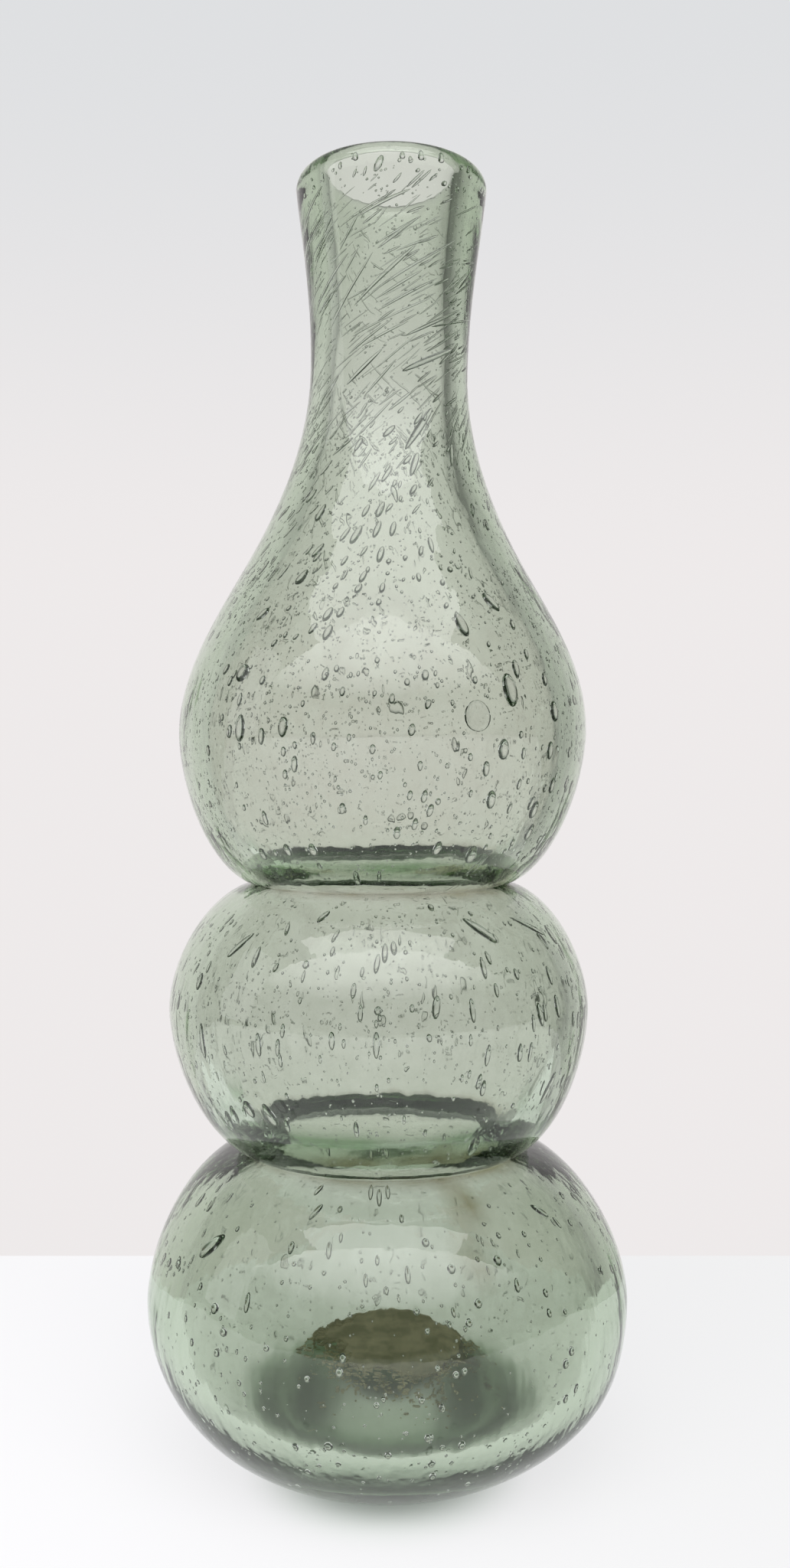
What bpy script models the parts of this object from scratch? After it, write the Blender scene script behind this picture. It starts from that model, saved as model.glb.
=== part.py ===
"""Bud vase in hand-blown bubble glass: three stacked bulbs under a long flared neck.

The glass is cased: an inner gather, an outer gather drawn over it, the air trapped between the two, and the
wad that the pontil iron left under the foot. Metres, +Z up, origin on the table under the middle of the foot.
"""

import math

import bmesh
import bpy
from mathutils import Matrix, Vector

HEIGHT = 0.2500

# Outside of the glass: the radius at each station, from the table up
FOOT_RADIUS = 0.0180
LOWER_BULB_RADIUS = 0.0473
LOWER_WAIST_RADIUS = 0.0262
MIDDLE_BULB_RADIUS = 0.0412
UPPER_WAIST_RADIUS = 0.0245
UPPER_BULB_RADIUS = 0.0398
SHOULDER_RADIUS = 0.0275
NECK_RADIUS = 0.0154
LIP_RADIUS = 0.0186

# Height of each stretch between two stations, from the table up; the neck takes what is left of the height
FOOT_TO_LOWER_BULB = 0.0310
LOWER_BULB_TO_WAIST = 0.0292
LOWER_WAIST_TO_MIDDLE_BULB = 0.0278
MIDDLE_BULB_TO_WAIST = 0.0239
UPPER_WAIST_TO_UPPER_BULB = 0.0291
UPPER_BULB_TO_SHOULDER = 0.0320
NECK_PINCH_SHARE = 0.53
LIP_RISE = 0.0035

# Thickness of the whole wall at each station
FLOOR_THICKNESS = 0.0060
KICK_THICKNESS = 0.0100
LOWER_BULB_WALL = 0.0064
LOWER_WAIST_WALL = 0.0059
MIDDLE_BULB_WALL = 0.0048
UPPER_WAIST_WALL = 0.0056
UPPER_BULB_WALL = 0.0050
SHOULDER_WALL = 0.0064
NECK_WALL = 0.0048
LIP_WALL = 0.0066

# How full each curve is: 2 is an ellipse, and less draws the glass in towards the waist
FOOT_FULLNESS = 1.95
WAIST_FULLNESS = 1.72
FLOOR_FULLNESS = 2.30
SHOULDER_SLOPE = -0.57
LIP_SLOPE = 0.12

# Share of the way out from a waist to a bulb at which the hollow comes to run parallel to the outside
REACH_UNDER_LOWER_WAIST = 1.10
REACH_OVER_LOWER_WAIST = 0.46
REACH_UNDER_UPPER_WAIST = 0.67
REACH_OVER_UPPER_WAIST = 0.30

# Kick under the foot, the hump that it raises in the hollow, and the pontil wad that sits at the top of it
KICK_HEIGHT = 0.0100
KICK_RADIUS = 0.0155
HUMP_RADIUS = 0.0300
PONTIL_RADIUS = 0.0090
PONTIL_THICKNESS = 0.0024
PONTIL_CLEARANCE = 0.0006

# Where the axis of the hand-made piece wanders to, along X
MIDDLE_BULB_SWAY = -0.0017
UPPER_BULB_SWAY = -0.0010
LIP_SWAY = 0.0008

# The two gathers: a hair's breadth between them, and the larger bubbles that lie in it
GATHER_GAP = 0.0003
BUBBLE_DEPTH = 0.0018
BUBBLE_LENGTH = 0.0060
BUBBLE_WIDTH = 0.0032
SEED_LENGTH = 0.0034
SEED_WIDTH = 0.0026
STREAK_LENGTH = 0.0125
STREAK_WIDTH = 0.0015
STREAK_LEAN = math.radians(38)
BUBBLES_PER_BULB = 7
SEEDS_IN_FOOT = 5
STREAKS_IN_NECK = 5
GOLDEN_ANGLE = math.pi * (3 - math.sqrt(5))

# Facets
TURN_STEPS = 32
STEPS_PER_ARC = 6
STEPS_PER_SLOPE = 5
STEPS_PER_KICK = 4
BUBBLE_SEGMENTS = 8
BUBBLE_RINGS = 6

# Heights of the stations above the table
LOWER_BULB_Z = FOOT_TO_LOWER_BULB
LOWER_WAIST_Z = LOWER_BULB_Z + LOWER_BULB_TO_WAIST
MIDDLE_BULB_Z = LOWER_WAIST_Z + LOWER_WAIST_TO_MIDDLE_BULB
UPPER_WAIST_Z = MIDDLE_BULB_Z + MIDDLE_BULB_TO_WAIST
UPPER_BULB_Z = UPPER_WAIST_Z + UPPER_WAIST_TO_UPPER_BULB
SHOULDER_Z = UPPER_BULB_Z + UPPER_BULB_TO_SHOULDER
LIP_Z = HEIGHT - LIP_RISE
NECK_LENGTH = LIP_Z - SHOULDER_Z
NECK_Z = SHOULDER_Z + NECK_LENGTH * NECK_PINCH_SHARE
KICK_FLOOR_Z = KICK_HEIGHT + KICK_THICKNESS
KICK_SEAT = PONTIL_RADIUS + PONTIL_CLEARANCE

GLASS_GREEN = (0.66, 0.75, 0.67, 1.0)
PONTIL_GREEN = (0.52, 0.62, 0.53, 1.0)


def swell(angle, fullness):
    """How far a superellipse quarter has gone out and along, both from 0 to 1, at an angle from 0 to 90 degrees."""
    power = 2 / fullness
    return math.sin(angle) ** power, 1 - math.cos(angle) ** power


def ease(start, end, slope_start, slope_end, height, share):
    """A cubic from one radius to another over a height, leaving and arriving at the given slopes."""
    leave = share * (1 - share) ** 2 * height * slope_start
    arrive = share * share * (share - 1) * height * slope_end
    turn = share * share * (3 - 2 * share)
    return start + (end - start) * turn + leave + arrive


def fade(share):
    """Falls smoothly from 1 to 0 as the share goes from 0 to 1."""
    share = min(max(share, 0.0), 1.0)
    return 1 - share * share * (3 - 2 * share)


def floor_point(angle):
    """A point of the hollow's bowl, which the kick pushes up in the middle."""
    out, up = swell(angle, FLOOR_FULLNESS)
    radius = (LOWER_BULB_RADIUS - LOWER_BULB_WALL) * out
    height = FLOOR_THICKNESS + (LOWER_BULB_Z - FLOOR_THICKNESS) * up
    push = fade((radius - KICK_SEAT) / (HUMP_RADIUS - KICK_SEAT))
    return radius, height + (KICK_FLOOR_Z - FLOOR_THICKNESS) * push


def floor_angle(radius):
    """The angle along the bowl at which it has a radius."""
    return math.asin((radius / (LOWER_BULB_RADIUS - LOWER_BULB_WALL)) ** (FLOOR_FULLNESS / 2))


def underside_pairs():
    """Points under the foot, from the middle of the kick to the standing ring, with those of the floor above."""
    outer = [(0.0, KICK_HEIGHT)]
    for step in range(STEPS_PER_KICK + 1):
        share = step / STEPS_PER_KICK
        outer.append((KICK_SEAT + (KICK_RADIUS - KICK_SEAT) * share, KICK_HEIGHT * fade(share)))
    return [(point, floor_point(floor_angle(point[0]))) for point in outer]


def foot_pairs():
    """Points from the standing ring up to the widest place of the lower bulb."""
    start = floor_angle(FOOT_RADIUS)
    pairs = []
    for step in range(STEPS_PER_ARC + 1):
        share = step / STEPS_PER_ARC
        out, up = swell(share * math.pi / 2, FOOT_FULLNESS)
        outer = (FOOT_RADIUS + (LOWER_BULB_RADIUS - FOOT_RADIUS) * out, LOWER_BULB_Z * up)
        pairs.append((outer, floor_point(start + share * (math.pi / 2 - start))))
    return pairs


def waist_pairs(bulb, waist, reach):
    """Points between a waist and the widest place of the bulb above or below it, the waist first.

    bulb and waist are (radius, wall, height).
    """
    swing = bulb[0] - waist[0]
    rise = bulb[2] - waist[2]
    power = 2 / WAIST_FULLNESS - 1
    pairs = []
    for step in range(STEPS_PER_ARC + 1):
        angle = step / STEPS_PER_ARC * math.pi / 2
        out, along = swell(angle, WAIST_FULLNESS)
        outer = Vector((waist[0] + swing * out, waist[2] + rise * along))
        widening = swing * math.sin(angle) ** power * math.cos(angle)
        climbing = abs(rise) * math.cos(angle) ** power * math.sin(angle)
        tilt = -math.copysign(math.atan2(widening, climbing), rise) * (1 - fade(out / reach))
        wall = bulb[1] + (waist[1] - bulb[1]) * fade(out)
        inner = outer - Vector((math.cos(tilt), math.sin(tilt))) * wall
        pairs.append((tuple(outer), tuple(inner)))
    return pairs


def slope_pairs(low, high, slope_low, slope_high):
    """Points up a stretch of neck. low and high are (radius, wall, height)."""
    pairs = []
    rise = high[2] - low[2]
    for step in range(STEPS_PER_SLOPE + 1):
        share = step / STEPS_PER_SLOPE
        outer = ease(low[0], high[0], slope_low, slope_high, rise, share)
        inner = ease(low[0] - low[1], high[0] - high[1], slope_low, slope_high, rise, share)
        height = low[2] + rise * share
        pairs.append(((outer, height), (inner, height)))
    return pairs


def lip_pairs():
    """Points over the fire-polished lip, which end half a gap either side of its crest."""
    half = LIP_WALL / 2
    middle = LIP_RADIUS - half
    last = math.acos(GATHER_GAP / 2 / half)
    pairs = []
    for step in range(1, STEPS_PER_SLOPE):
        angle = last * step / (STEPS_PER_SLOPE - 1)
        reach = half * math.cos(angle)
        height = LIP_Z + LIP_RISE * math.sin(angle)
        pairs.append(((middle + reach, height), (middle - reach, height)))
    return pairs


def wall_pairs():
    """Each point of the outside with its partner in the hollow, from under the foot to the crest of the lip."""
    lower_bulb = (LOWER_BULB_RADIUS, LOWER_BULB_WALL, LOWER_BULB_Z)
    middle_bulb = (MIDDLE_BULB_RADIUS, MIDDLE_BULB_WALL, MIDDLE_BULB_Z)
    upper_bulb = (UPPER_BULB_RADIUS, UPPER_BULB_WALL, UPPER_BULB_Z)
    lower_waist = (LOWER_WAIST_RADIUS, LOWER_WAIST_WALL, LOWER_WAIST_Z)
    upper_waist = (UPPER_WAIST_RADIUS, UPPER_WAIST_WALL, UPPER_WAIST_Z)
    shoulder = (SHOULDER_RADIUS, SHOULDER_WALL, SHOULDER_Z)
    neck = (NECK_RADIUS, NECK_WALL, NECK_Z)
    lip = (LIP_RADIUS, LIP_WALL, LIP_Z)
    stretches = [
        underside_pairs(),
        foot_pairs(),
        waist_pairs(lower_bulb, lower_waist, REACH_UNDER_LOWER_WAIST)[::-1],
        waist_pairs(middle_bulb, lower_waist, REACH_OVER_LOWER_WAIST),
        waist_pairs(middle_bulb, upper_waist, REACH_UNDER_UPPER_WAIST)[::-1],
        waist_pairs(upper_bulb, upper_waist, REACH_OVER_UPPER_WAIST),
        slope_pairs(upper_bulb, shoulder, 0.0, SHOULDER_SLOPE),
        slope_pairs(shoulder, neck, SHOULDER_SLOPE, 0.0),
        slope_pairs(neck, lip, 0.0, LIP_SLOPE),
        lip_pairs(),
    ]
    joined = stretches[0]
    for stretch in stretches[1:]:
        same_place = math.dist(stretch[0][0], joined[-1][0]) < GATHER_GAP
        joined = joined + stretch[1 if same_place else 0:]
    return joined


def interface(pairs, side):
    """The face between the gathers, half a gap to the outside (side 1) or to the inside (side -1) of mid-wall.

    It is hidden, so it has every second point of the wall, with both of the ends.
    """
    points = []
    for outer, inner in pairs[:-1:2] + pairs[-1:]:
        across = Vector((outer[0] - inner[0], outer[1] - inner[1]))
        middle = Vector(inner) + across / 2
        points.append(tuple(middle + across.normalized() * side * GATHER_GAP / 2))
    return points


def sway_at(height):
    """How far the axis has wandered along X at a height."""
    stations = (
        (LOWER_BULB_Z, 0.0),
        (MIDDLE_BULB_Z, MIDDLE_BULB_SWAY),
        (UPPER_BULB_Z, UPPER_BULB_SWAY),
        (LIP_Z, LIP_SWAY),
    )
    for (low, start), (high, end) in zip(stations, stations[1:]):
        if low < height <= high:
            share = (height - low) / (high - low)
            return start + (end - start) * share * share * (3 - 2 * share)
    return 0.0 if height <= LOWER_BULB_Z else LIP_SWAY


def glass(name, colour, roughness):
    """A clear, tinted glass material."""
    material = bpy.data.materials.new(name)
    material.use_nodes = True
    shader = material.node_tree.nodes["Principled BSDF"]
    shader.inputs["Base Color"].default_value = colour
    shader.inputs["Roughness"].default_value = roughness
    shader.inputs["Metallic"].default_value = 0.0
    shader.inputs["Transmission Weight"].default_value = 1.0
    shader.inputs["IOR"].default_value = 1.5
    return material


def as_mesh(obj):
    """Replaces an object's modifiers by the mesh that they make."""
    graph = bpy.context.evaluated_depsgraph_get()
    mesh = bpy.data.meshes.new_from_object(obj.evaluated_get(graph))
    obj.modifiers.clear()
    obj.data = mesh
    return obj


def turned(name, profile, collection, material):
    """Turns a profile of (radius, height) points about Z, then lets the axis wander as the hand-made piece does."""
    mesh = bpy.data.meshes.new(name)
    edges = [(i, i + 1) for i in range(len(profile) - 1)]
    mesh.from_pydata([(radius, 0.0, height) for radius, height in profile], edges, [])
    obj = bpy.data.objects.new(name, mesh)
    collection.objects.link(obj)
    screw = obj.modifiers.new("turn", "SCREW")
    screw.axis = "Z"
    screw.steps = TURN_STEPS
    screw.render_steps = TURN_STEPS
    screw.use_merge_vertices = True
    screw.merge_threshold = 0.00001
    bpy.context.view_layer.update()
    as_mesh(obj)
    for vertex in obj.data.vertices:
        vertex.co.x += sway_at(vertex.co.z)
    obj.data.materials.clear()
    obj.data.materials.append(material)
    obj.data.shade_smooth()
    obj.data.set_sharp_from_angle(angle=math.radians(40))
    return obj


def bubble_frame(middle, height, azimuth):
    """The place on mid-wall at a height and azimuth, with the outward normal and the way up the wall."""
    for low, high in zip(middle, middle[1:]):
        if low[1] <= height <= high[1] and high[1] > low[1]:
            share = (height - low[1]) / (high[1] - low[1])
            radius = low[0] + (high[0] - low[0]) * share
            along = Vector((high[0] - low[0], high[1] - low[1])).normalized()
            break
    turn = Matrix.Rotation(azimuth, 3, "Z")
    place = turn @ Vector((radius, 0.0, height)) + Vector((sway_at(height), 0.0, 0.0))
    up_wall = turn @ Vector((along.x, 0.0, along.y))
    outward = turn @ Vector((along.y, 0.0, -along.x))
    return place, outward, up_wall


def bubbles():
    """Height, azimuth, length, width and lean of the larger bubbles, zone by zone along a golden spiral."""
    zones = (
        (LOWER_BULB_Z, LOWER_BULB_TO_WAIST * 0.75, BUBBLES_PER_BULB, SEED_LENGTH, SEED_WIDTH, 0.0),
        (LOWER_WAIST_Z + LOWER_WAIST_TO_MIDDLE_BULB * 0.35,
         (LOWER_WAIST_TO_MIDDLE_BULB + MIDDLE_BULB_TO_WAIST) * 0.5,
         BUBBLES_PER_BULB, BUBBLE_LENGTH, BUBBLE_WIDTH, 0.0),
        (UPPER_WAIST_Z + UPPER_WAIST_TO_UPPER_BULB * 0.4,
         (UPPER_WAIST_TO_UPPER_BULB + UPPER_BULB_TO_SHOULDER) * 0.62,
         BUBBLES_PER_BULB, BUBBLE_LENGTH, BUBBLE_WIDTH, 0.0),
        (LOWER_BULB_Z * 0.45, LOWER_BULB_Z * 0.4, SEEDS_IN_FOOT, SEED_LENGTH, SEED_WIDTH, 0.0),
        (NECK_Z - NECK_LENGTH * 0.1, NECK_LENGTH * 0.45,
         STREAKS_IN_NECK, STREAK_LENGTH, STREAK_WIDTH, STREAK_LEAN),
    )
    found = []
    for bottom, rise, count, length, width, lean in zones:
        for i in range(count):
            height = bottom + rise * (i + 0.5) / count
            found.append((height, len(found) * GOLDEN_ANGLE, length, width, lean))
    return found


def bubble_cutter(middle, collection):
    """One mesh of all the larger bubbles, each an ellipsoid lying in the face between the gathers."""
    shape = bmesh.new()
    for height, azimuth, length, width, lean in bubbles():
        place, outward, up_wall = bubble_frame(middle, height, azimuth)
        up_wall = Matrix.Rotation(lean, 3, outward) @ up_wall
        across = up_wall.cross(outward)
        axes = Matrix((across, up_wall, outward)).transposed().to_4x4()
        size = Matrix.Diagonal((width / 2, length / 2, BUBBLE_DEPTH / 2, 1.0))
        bmesh.ops.create_uvsphere(
            shape, u_segments=BUBBLE_SEGMENTS, v_segments=BUBBLE_RINGS, radius=1.0,
            matrix=Matrix.Translation(place) @ axes @ size)
    bmesh.ops.recalc_face_normals(shape, faces=shape.faces)
    mesh = bpy.data.meshes.new("trapped_air")
    shape.to_mesh(mesh)
    shape.free()
    obj = bpy.data.objects.new("trapped_air", mesh)
    collection.objects.link(obj)
    obj.hide_render = True
    obj.display_type = "WIRE"
    return obj


def hollow_out(obj, cutter):
    """Cuts the bubbles' pockets out of a gather."""
    cut = obj.modifiers.new("pockets", "BOOLEAN")
    cut.operation = "DIFFERENCE"
    cut.solver = "EXACT"
    cut.object = cutter


def pontil_profile():
    """The wad of glass at the top of the kick: a flat upper face, a rounded edge and a broken, dished lower face."""
    top = KICK_HEIGHT - GATHER_GAP
    low = top - PONTIL_THICKNESS
    edge = PONTIL_THICKNESS / 2
    profile = [(0.0, top), (PONTIL_RADIUS - edge, top)]
    for step in range(1, STEPS_PER_ARC):
        angle = math.pi * step / STEPS_PER_ARC
        profile.append((PONTIL_RADIUS - edge + edge * math.sin(angle), top - edge + edge * math.cos(angle)))
    profile += [(PONTIL_RADIUS - edge, low), (0.0, low + edge / 2)]
    return profile


def clear_scene():
    """Removes every object that the scene starts with."""
    for obj in list(bpy.data.objects):
        bpy.data.objects.remove(obj)


def new_collection(name):
    """A new collection in the scene."""
    collection = bpy.data.collections.new(name)
    bpy.context.scene.collection.children.link(collection)
    return collection


def build():
    """Makes the vase."""
    clear_scene()
    vase = new_collection("bud_vase")
    cutters = new_collection("cutters")
    body_glass = glass("pale_green_glass", GLASS_GREEN, 0.02)
    wad_glass = glass("pontil_glass", PONTIL_GREEN, 0.25)
    pairs = wall_pairs()
    outside = [outer for outer, _ in pairs]
    hollow = [inner for _, inner in pairs]
    casing = interface(pairs, 1)[:-1] + outside[::-1]
    lining = hollow + interface(pairs, -1)[-2::-1]
    outer_gather = turned("outer_gather", casing, vase, body_glass)
    inner_gather = turned("inner_gather", lining, vase, body_glass)
    turned("pontil_wad", pontil_profile(), vase, wad_glass)
    air = bubble_cutter(interface(pairs, 0), cutters)
    hollow_out(outer_gather, air)
    hollow_out(inner_gather, air)


build()
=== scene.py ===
"""Looks of a bubble-glass bud vase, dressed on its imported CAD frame.

The two gathers become one body of tinted glass with the air that was trapped between them, the pontil wad gets
its broken face, silt has dried on the floor, and the vase stands on a plain pale table in soft light.
Metres, +Z up.
"""

import logging
import math
import random
from collections.abc import Iterable
from dataclasses import dataclass
from enum import Enum

import bpy
import numpy as np
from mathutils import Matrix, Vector, noise


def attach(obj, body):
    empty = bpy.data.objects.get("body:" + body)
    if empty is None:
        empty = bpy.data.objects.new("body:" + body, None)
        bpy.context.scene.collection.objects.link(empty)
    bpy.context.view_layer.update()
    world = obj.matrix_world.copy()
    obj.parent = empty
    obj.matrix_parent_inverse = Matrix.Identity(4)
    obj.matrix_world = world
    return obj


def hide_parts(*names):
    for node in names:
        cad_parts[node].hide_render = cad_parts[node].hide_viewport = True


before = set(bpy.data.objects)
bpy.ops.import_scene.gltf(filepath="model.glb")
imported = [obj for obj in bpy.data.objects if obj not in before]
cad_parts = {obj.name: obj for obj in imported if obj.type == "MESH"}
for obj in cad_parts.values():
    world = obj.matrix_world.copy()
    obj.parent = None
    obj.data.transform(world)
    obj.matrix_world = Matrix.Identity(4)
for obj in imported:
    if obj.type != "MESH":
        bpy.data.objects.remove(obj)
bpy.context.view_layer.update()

LOG = logging.getLogger("bud_vase")
MM = 0.001
GOLDEN_SEED = 1618
WHITE = (1.0, 1.0, 1.0, 1.0)

Array = np.ndarray
Pair = tuple[float, float]
Place = tuple[float, float, float]
Colour = tuple[float, float, float, float]
Levels = tuple[float, ...]
Rows = tuple[Levels, ...]
Run = tuple[Array, Array]
Faces = list[tuple[int, ...]]
Shape = tuple[Array, Faces]
Node = bpy.types.Node
Socket = bpy.types.NodeSocket
Material = bpy.types.Material
Piece = bpy.types.Object
Inputs = dict[str | int, object]


class Face(Enum):
    """Which face of the glass a point lies on."""

    OUTSIDE = "outside"
    HOLLOW = "hollow"


@dataclass(frozen=True)
class Station:
    """A height at which the wall's outside radius and its thickness are known.

    Args:
        radius: Outside radius.
        wall: Thickness of the glass.
        height: Height above the table.
    """

    radius: float
    wall: float
    height: float

    @property
    def hollow(self) -> float:
        """Radius of the hollow at this station."""
        return self.radius - self.wall


def swell(angle: Array, fullness: float) -> Run:
    """Goes a quarter of the way round a superellipse.

    Args:
        angle: Angles from 0 to 90 degrees, in radians.
        fullness: 2 for an ellipse, less for a slacker curve.

    Returns:
        How far out and how far along each point has gone, from 0 to 1.
    """
    power = 2 / fullness
    return np.sin(angle) ** power, 1 - np.clip(np.cos(angle), 0, 1) ** power


def smooth(share: Array) -> Array:
    """Rises smoothly from 0 to 1 as the share does."""
    return share * share * (3 - 2 * share)


def fade(share: Array) -> Array:
    """Falls smoothly from 1 to 0 as the share goes from 0 to 1, and stays there."""
    return 1 - smooth(np.clip(share, 0, 1))


def fall(value: Array, ends: Pair) -> Array:
    """Falls smoothly from 1 at the first end to 0 at the second."""
    return fade((value - ends[0]) / (ends[1] - ends[0]))


def ease(ends: Pair, slopes: Pair, rise: float, share: Array) -> Array:
    """Runs a cubic from one radius to another.

    Args:
        ends: The two radii.
        slopes: The slopes that the curve leaves and arrives at.
        rise: The height between the two.
        share: How far up the rise each point is, from 0 to 1.

    Returns:
        The radius at each point.
    """
    leave = share * (1 - share) ** 2 * rise * slopes[0]
    arrive = share * share * (share - 1) * rise * slopes[1]
    return ends[0] + (ends[1] - ends[0]) * smooth(share) + leave + arrive


def reverse(run: Run) -> Run:
    """Turns a run of paired points end for end."""
    return run[0][::-1], run[1][::-1]


def grained(points: Array, scale: float, size: float) -> Array:
    """Noise of a given size at each point, with so many clouds to the metre."""
    return np.array([size * noise.noise(Vector(point) * scale) for point in points])


def waves(place: Vector, kinds: Rows) -> float:
    """Sum of the noises at a place, each of which has so many clouds to the metre and a size."""
    return sum(size * noise.noise(place * scale) for scale, size in kinds)


def round_angles(turns: int) -> Array:
    """Evenly spaced angles all the way round."""
    return np.linspace(0, 2 * math.pi, turns, endpoint=False)


def pole(height: float, x: float = 0.0) -> Array:
    """The single point at which a skin closes, as one row."""
    return np.array([[x, 0.0, height]])


def circle(radius: float, height: float, turns: int) -> Array:
    """A level ring of points about the axis."""
    angles = round_angles(turns)
    return np.column_stack([radius * np.cos(angles), radius * np.sin(angles), np.full(turns, height)])


def skin_faces(rings: int, turns: int) -> Faces:
    """Faces of a closed skin of rings of points between a first point and a last one.

    Args:
        rings: How many rings there are.
        turns: How many points each ring has.

    Returns:
        The faces, which look outwards where the skin begins at the top.
    """
    last = 1 + rings * turns
    faces: Faces = []
    for step in range(turns):
        beside = (step + 1) % turns
        faces.append((0, 1 + step, 1 + beside))
        for near in range(1, last - turns, turns):
            far = near + turns
            faces.append((near + step, far + step, far + beside, near + beside))
        faces.append((last, last - turns + beside, last - turns + step))
    return faces


def skin(rows: list[Array]) -> Shape:
    """Closes rings of points between a first point and a last one."""
    return np.concatenate(rows), skin_faces(len(rows) - 2, len(rows[1]))


def ball(segments: int, rings: int) -> Shape:
    """A unit ball with its poles along the first axis and its faces turned inwards, as the glass meets a bubble.

    Args:
        segments: Facets round it.
        rings: Facets from pole to pole.

    Returns:
        Its points and its faces.
    """
    points = [(1.0, 0.0, 0.0)]
    for ring in range(1, rings):
        polar = math.pi * ring / rings
        for step in range(segments):
            turn = 2 * math.pi * step / segments
            points.append((math.cos(polar), math.sin(polar) * math.cos(turn), math.sin(polar) * math.sin(turn)))
    points.append((-1.0, 0.0, 0.0))
    return np.array(points), [(face[0], *face[:0:-1]) for face in skin_faces(rings - 1, segments)]


def joined(shapes: Iterable[Shape]) -> Shape:
    """Joins the points and faces of several shapes."""
    points: list[Array] = []
    faces: Faces = []
    count = 0
    for part, around in shapes:
        points.append(part)
        faces += [tuple(corner + count for corner in face) for face in around]
        count += len(part)
    return np.concatenate(points), faces


@dataclass(frozen=True)
class VaseWall:
    """The wall of the vase: each point of the outside paired with its partner in the hollow."""

    foot_radius: float = 0.0180
    foot_fullness: float = 1.95
    waist_fullness: float = 1.72
    floor_fullness: float = 2.30
    floor_thickness: float = 0.0043
    kick_thickness: float = 0.0070
    kick_height: float = 0.0130
    kick_radius: float = 0.0172
    kick_seat: float = 0.0096
    hump_reach: float = 0.0300
    shoulder_slope: float = -0.57
    lip_slope: float = 0.12
    lip_rise: float = 0.0035
    lower_bulb: Station = Station(0.0473, 0.0064, 0.0310)
    lower_waist: Station = Station(0.0262, 0.0059, 0.0602)
    middle_bulb: Station = Station(0.0412, 0.0048, 0.0880)
    upper_waist: Station = Station(0.0245, 0.0056, 0.1119)
    upper_bulb: Station = Station(0.0398, 0.0050, 0.1410)
    shoulder: Station = Station(0.0275, 0.0064, 0.1730)
    neck: Station = Station(0.0154, 0.0048, 0.2120)
    lip: Station = Station(0.0186, 0.0066, 0.2465)
    middle_sway: float = -0.0017
    upper_sway: float = -0.0010
    lip_sway: float = 0.0008
    reach_under_lower_waist: float = 1.10
    reach_over_lower_waist: float = 0.46
    reach_under_upper_waist: float = 0.67
    reach_over_upper_waist: float = 0.30
    seat_steps: int = 5
    arc_steps: int = 18
    slope_steps: int = 12
    lip_steps: int = 9

    def underside(self) -> Run:
        """Points under the foot, from the middle of the kick out to the standing ring."""
        share = np.linspace(0, 1, self.slope_steps + 1)[1:]
        seat = np.linspace(0, self.kick_seat, self.seat_steps)
        flank = self.kick_seat + (self.kick_radius - self.kick_seat) * share
        radius = np.concatenate([seat, flank])
        height = np.concatenate([np.full(self.seat_steps, self.kick_height), self.kick_height * fade(share)])
        return np.column_stack([radius, height]), self.floor_curve(self.floor_angle(radius))

    def floor_angle(self, radius: Array) -> Array:
        """Angle along the hollow's bowl at which it has a given radius."""
        return np.arcsin((radius / self.lower_bulb.hollow) ** (self.floor_fullness / 2))

    def floor_curve(self, angle: Array) -> Array:
        """Points of the hollow's bowl, which the kick pushes up in the middle, out to the widest place."""
        out, up = swell(angle, self.floor_fullness)
        radius = self.lower_bulb.hollow * out
        height = self.floor_thickness + (self.lower_bulb.height - self.floor_thickness) * up
        push = fall(radius, (self.kick_seat, self.hump_reach))
        rise = self.kick_height + self.kick_thickness - self.floor_thickness
        return np.column_stack([radius, height + rise * push])

    def foot(self) -> Run:
        """Points from the standing ring up to the widest place of the lower bulb."""
        share = np.linspace(0, 1, self.arc_steps + 1)
        out, up = swell(share * math.pi / 2, self.foot_fullness)
        outer = np.column_stack([self.foot_radius + (self.lower_bulb.radius - self.foot_radius) * out,
                                 self.lower_bulb.height * up])
        start = float(self.floor_angle(np.array(self.foot_radius)))
        return outer, self.floor_curve(start + share * (math.pi / 2 - start))

    def half_bulb(self, bulb: Station, waist: Station, reach: float) -> Run:
        """Points from a waist to the widest place of the bulb above or below it.

        Args:
            bulb: The widest place.
            waist: The pinched place.
            reach: Share of the way out at which the hollow comes to run parallel to the outside.

        Returns:
            The points outside and their partners in the hollow, the waist first.
        """
        angle = np.linspace(0, math.pi / 2, self.arc_steps + 1)
        out, along = swell(angle, self.waist_fullness)
        swing = bulb.radius - waist.radius
        rise = bulb.height - waist.height
        outer = np.column_stack([waist.radius + swing * out, waist.height + rise * along])
        power = 2 / self.waist_fullness - 1
        cosine = np.clip(np.cos(angle), 0, 1)
        steep = np.arctan2(swing * np.sin(angle) ** power * cosine, abs(rise) * cosine ** power * np.sin(angle))
        tilt = -math.copysign(1, rise) * steep * (1 - fade(out / reach))
        wall = bulb.wall + (waist.wall - bulb.wall) * fade(out)
        return outer, outer - wall[:, None] * np.column_stack([np.cos(tilt), np.sin(tilt)])

    def slope(self, low: Station, high: Station, slopes: Pair) -> Run:
        """Points up a stretch of the neck.

        Args:
            low: The station at its bottom.
            high: The station at its top.
            slopes: How fast the radius grows with height at the bottom and at the top.

        Returns:
            The points outside and their partners in the hollow.
        """
        share = np.linspace(0, 1, self.slope_steps + 1)
        rise = high.height - low.height
        height = low.height + rise * share
        outer = ease((low.radius, high.radius), slopes, rise, share)
        inner = ease((low.hollow, high.hollow), slopes, rise, share)
        return np.column_stack([outer, height]), np.column_stack([inner, height])

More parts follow.
